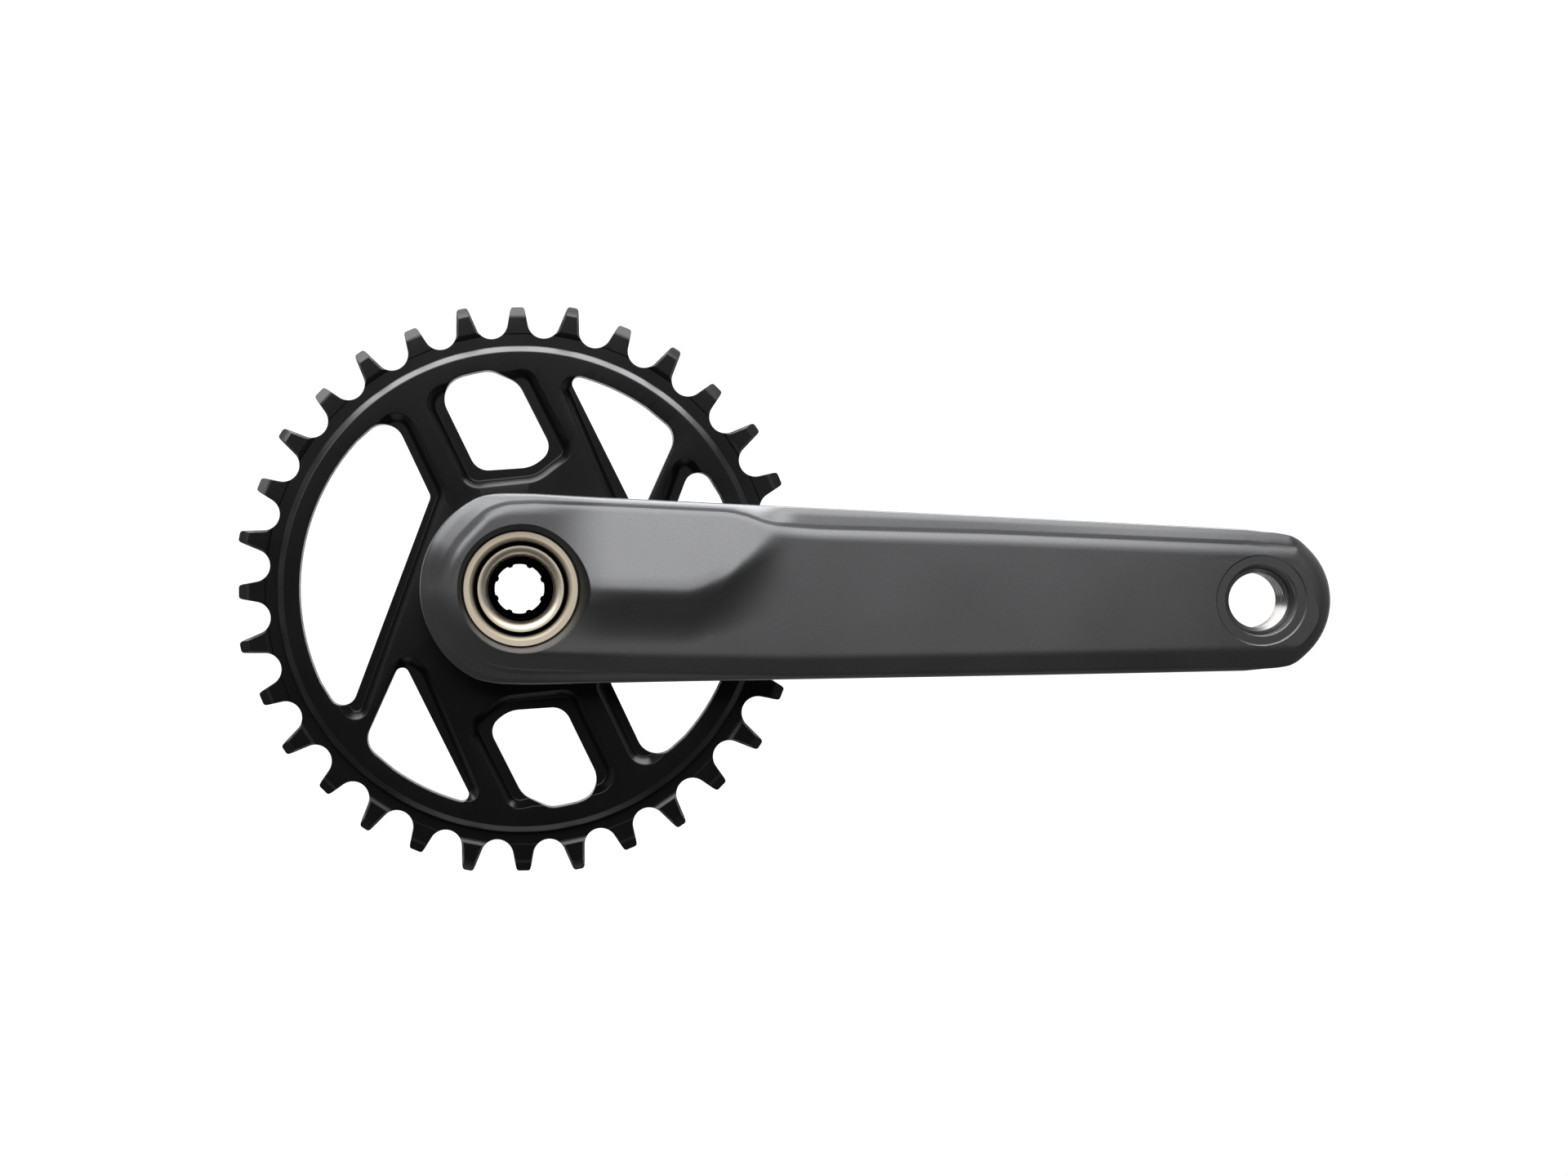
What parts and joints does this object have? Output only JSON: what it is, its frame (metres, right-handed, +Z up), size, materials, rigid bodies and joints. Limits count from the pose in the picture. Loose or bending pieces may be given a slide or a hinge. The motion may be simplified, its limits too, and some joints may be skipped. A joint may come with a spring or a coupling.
{
  "type": "bicycle crankset",
  "caption": "Single-ring mountain-bike crankset: painted forged arms on a hollow axle, narrow-wide direct-mount chainring and threaded external-bearing bottom bracket.",
  "frame": {"origin": "middle of the bottom-bracket shell, on the axle's axis", "axes": "+X along both crank arms, forward on the bike as posed; +Y along the axle to the left, non-drive side; +Z up"},
  "size_m": [0.2552, 0.178, 0.137],
  "materials": {
    "arm_paint": "satin dark grey paint on forged aluminium",
    "ring_black": "semi-matte black hard-anodised aluminium",
    "axle_gold": "turned steel with a champagne-gold plating",
    "cap_plastic": "black moulded plastic",
    "cup_black": "black anodised, spanner notches",
    "bearing_steel": "ground bearing steel",
    "bolt_steel": "zinc-plated steel",
    "seal_rubber": "black rubber"
  },
  "bodies": {
    "bottom_bracket": {"right_cup": "cup_black", "left_cup": "cup_black", "drive_side_spacer": "cap_plastic", "inner_sleeve": "cap_plastic", "right_sleeve_o_ring": "seal_rubber", "left_sleeve_o_ring": "seal_rubber", "right_bearing_outer_race": "bearing_steel", "left_bearing_outer_race": "bearing_steel", "right_bearing_seal": "seal_rubber", "left_bearing_seal": "seal_rubber"},
    "crank": {"right_crank_arm": "arm_paint", "axle": "axle_gold", "chainring": "ring_black", "chainring_lock_ring": "cup_black", "left_crank_arm": "arm_paint", "left_arm_fixing_cap": "cap_plastic", "inner_pinch_bolt": "bolt_steel", "outer_pinch_bolt": "bolt_steel", "right_bearing_cover": "cap_plastic", "left_bearing_cover": "cap_plastic", "right_bearing_inner_race": "bearing_steel", "left_bearing_inner_race": "bearing_steel"},
    "right_balls": {"right_ball_set": "bearing_steel"},
    "left_balls": {"left_ball_set": "bearing_steel"},
    "stopper": {"stopper_plate": "cap_plastic"}
  },
  "joints": [
    {"name": "crank_spin", "type": "hinge", "parent": "bottom_bracket", "child": "crank", "pos_m": [0, 0, 0], "axis": [0, 1, 0], "continuous": true},
    {"name": "right_balls_roll", "type": "hinge", "parent": "bottom_bracket", "child": "right_balls", "pos_m": [0, -0.0459, 0], "axis": [0, 1, 0], "continuous": true},
    {"name": "left_balls_roll", "type": "hinge", "parent": "bottom_bracket", "child": "left_balls", "pos_m": [0, 0.0431, 0], "axis": [0, 1, 0], "continuous": true},
    {"name": "stopper_plate_pivot", "type": "hinge", "parent": "crank", "child": "stopper", "pos_m": [-0.0185, 0.063, 0], "axis": [0, 0, -1], "range_deg": [0, 14]}
  ],
  "couplings": [
    {"joint": "right_balls_roll", "follows": "crank_spin", "ratio": 0.452},
    {"joint": "left_balls_roll", "follows": "crank_spin", "ratio": 0.452}
  ]
}
